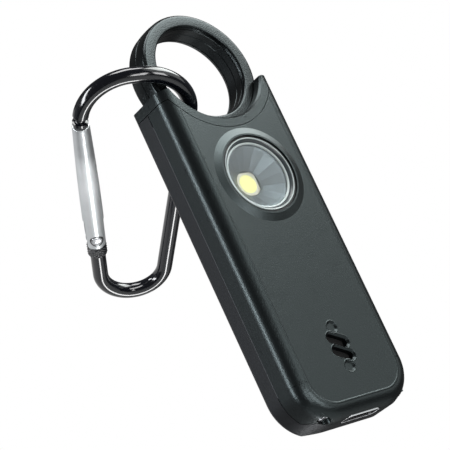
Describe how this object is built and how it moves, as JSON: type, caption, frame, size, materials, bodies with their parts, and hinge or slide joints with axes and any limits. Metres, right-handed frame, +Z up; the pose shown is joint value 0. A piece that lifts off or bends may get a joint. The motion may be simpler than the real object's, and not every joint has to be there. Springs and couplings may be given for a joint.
{
  "type": "personal safety alarm",
  "caption": "Slim hand-held alarm: two-cover housing with lamp, slanted siren slots and charging socket, a pull ring nested in a notch, and a carabiner threaded through the ring",
  "frame": {"origin": "middle of the flat bottom end of the housing, where the charging socket is", "axes": "X to the right seen from the front, Y from the lamp's face to the back, Z up along the housing to the pull ring"},
  "size_m": [0.0393, 0.0561, 0.088],
  "materials": {
    "cover_plastic": "fine matt grain, charcoal",
    "rear_plastic": "fine matt grain, dark charcoal",
    "ring_plastic": "satin, grey",
    "clear_lens": "clear, polished",
    "black_rubber": "matt",
    "satin_reflector": "satin metallised",
    "led_ceramic": "matt, pale",
    "led_phosphor": "yellow gel",
    "board_green": "solder mask",
    "plated_steel": "bright plating",
    "black_plastic": "moulded, dark",
    "battery_foil": "foil pouch",
    "mesh_cloth": "fine black mesh",
    "contact_brass": "bare",
    "clip_black": "glossy black coating",
    "gate_silver": "bright, drawn"
  },
  "bodies": {
    "housing": {"front_cover": "cover_plastic", "rear_cover": "rear_plastic", "ring_seat": "cover_plastic", "lens": "clear_lens", "lens_gasket": "black_rubber", "reflector": "satin_reflector", "led_package": "led_ceramic", "led_phosphor": "led_phosphor", "main_board": "board_green", "usb_shell": "plated_steel", "usb_tongue": "black_plastic", "battery": "battery_foil", "battery_pad": "black_rubber", "sounder": "black_plastic", "sounder_gasket": "black_rubber", "sound_mesh": "mesh_cloth", "pull_switch": "black_plastic", "switch_contact": "contact_brass", "end_screws": "plated_steel"},
    "pull_ring": {"ring_front": "ring_plastic", "ring_rear": "ring_plastic", "pull_pin": "plated_steel"},
    "carabiner": {"carabiner_frame": "clip_black"},
    "clip_gate": {"gate": "gate_silver", "gate_rivet": "plated_steel", "gate_spring": "plated_steel"}
  },
  "joints": [
    {"name": "ring_pull", "type": "slide", "parent": "housing", "child": "pull_ring", "axis": [0, 0, 1], "range_m": [0, 0.02]},
    {"name": "clip_swing", "type": "hinge", "parent": "pull_ring", "child": "carabiner", "pos_m": [-0.01155, 0, 0.07495], "axis": [0, 0, 1], "range_deg": [0, 60]},
    {"name": "gate_open", "type": "hinge", "parent": "carabiner", "child": "clip_gate", "pos_m": [-0.01056, 0.03536, 0.05999], "axis": [0.3853, 0.2907, 0.8758], "range_deg": [0, 22], "stiffness_Nm_per_rad": 0.02}
  ]
}
